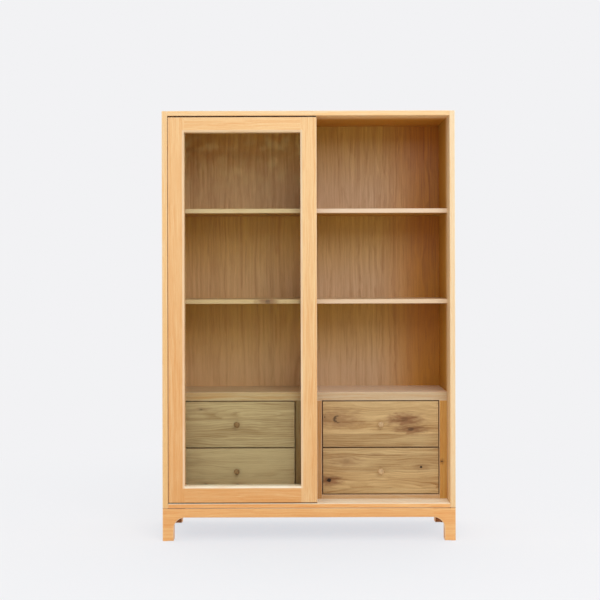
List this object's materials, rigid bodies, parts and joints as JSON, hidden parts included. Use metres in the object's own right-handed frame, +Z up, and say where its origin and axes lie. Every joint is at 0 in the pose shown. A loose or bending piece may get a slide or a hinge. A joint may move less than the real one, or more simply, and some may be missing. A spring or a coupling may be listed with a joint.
{
  "type": "bookcase with sliding doors",
  "caption": "Tall oak bookcase on a footed base: glazed sliding doors in front of shelved bays with knobbed drawers below, and a centre divider.",
  "frame": {"origin": "on the floor, under the middle of the case", "axes": "+Z up, -Y the front that the doors and drawers face, +X to the right as seen from the front"},
  "size_m": [1.2, 0.4, 1.76],
  "materials": {
    "oak": "light oak, satin oil finish",
    "interior_oak": "oak, matt oil finish",
    "back_oak": "oak veneer, matt, upright grain",
    "rustic_oak": "knotty oak, matt oil finish",
    "drawer_lining": "plain light wood, unfinished",
    "clear_glass": "clear float glass"
  },
  "bodies": {
    "cabinet": {"leg_front_left": "oak", "leg_front_right": "oak", "leg_back_left": "oak", "leg_back_right": "oak", "apron_front": "oak", "apron_back": "oak", "apron_left": "oak", "apron_right": "oak", "side_panel_left": "oak", "side_panel_right": "oak", "top_panel": "oak", "bottom_panel": "oak", "centre_divider": "interior_oak", "back_panel": "back_oak", "shelf_left_lower": "interior_oak", "shelf_left_upper": "interior_oak", "shelf_right_lower": "interior_oak", "shelf_right_upper": "interior_oak", "drawer_unit_left_top": "interior_oak", "drawer_unit_left_outer_side": "interior_oak", "drawer_unit_left_inner_side": "interior_oak", "drawer_unit_left_floor": "interior_oak", "drawer_unit_left_outer_runner": "interior_oak", "drawer_unit_left_inner_runner": "interior_oak", "drawer_unit_right_top": "interior_oak", "drawer_unit_right_outer_side": "interior_oak", "drawer_unit_right_inner_side": "interior_oak", "drawer_unit_right_floor": "interior_oak", "drawer_unit_right_outer_runner": "interior_oak", "drawer_unit_right_inner_runner": "interior_oak"},
    "front_door": {"front_door_left_stile": "oak", "front_door_right_stile": "oak", "front_door_bottom_rail": "oak", "front_door_top_rail": "oak", "front_door_glass": "clear_glass"},
    "rear_door": {"rear_door_left_stile": "oak", "rear_door_right_stile": "oak", "rear_door_bottom_rail": "oak", "rear_door_top_rail": "oak", "rear_door_glass": "clear_glass"},
    "drawer_left_lower": {"drawer_left_lower_front": "rustic_oak", "drawer_left_lower_box": "drawer_lining", "drawer_left_lower_bottom": "drawer_lining", "drawer_left_lower_knob": "rustic_oak"},
    "drawer_left_upper": {"drawer_left_upper_front": "rustic_oak", "drawer_left_upper_box": "drawer_lining", "drawer_left_upper_bottom": "drawer_lining", "drawer_left_upper_knob": "rustic_oak"},
    "drawer_right_lower": {"drawer_right_lower_front": "rustic_oak", "drawer_right_lower_box": "drawer_lining", "drawer_right_lower_bottom": "drawer_lining", "drawer_right_lower_knob": "rustic_oak"},
    "drawer_right_upper": {"drawer_right_upper_front": "rustic_oak", "drawer_right_upper_box": "drawer_lining", "drawer_right_upper_bottom": "drawer_lining", "drawer_right_upper_knob": "rustic_oak"}
  },
  "joints": [
    {"name": "front_door_slide", "type": "slide", "parent": "cabinet", "child": "front_door", "axis": [-1, 0, 0], "range_m": [-0.542, 0]},
    {"name": "rear_door_slide", "type": "slide", "parent": "cabinet", "child": "rear_door", "axis": [-1, 0, 0], "range_m": [-0.542, 0]},
    {"name": "drawer_left_lower_slide", "type": "slide", "parent": "cabinet", "child": "drawer_left_lower", "axis": [0, -1, 0], "range_m": [0, 0.03]},
    {"name": "drawer_left_upper_slide", "type": "slide", "parent": "cabinet", "child": "drawer_left_upper", "axis": [0, -1, 0], "range_m": [0, 0.03]},
    {"name": "drawer_right_lower_slide", "type": "slide", "parent": "cabinet", "child": "drawer_right_lower", "axis": [0, -1, 0], "range_m": [0, 0.2]},
    {"name": "drawer_right_upper_slide", "type": "slide", "parent": "cabinet", "child": "drawer_right_upper", "axis": [0, -1, 0], "range_m": [0, 0.2]}
  ]
}
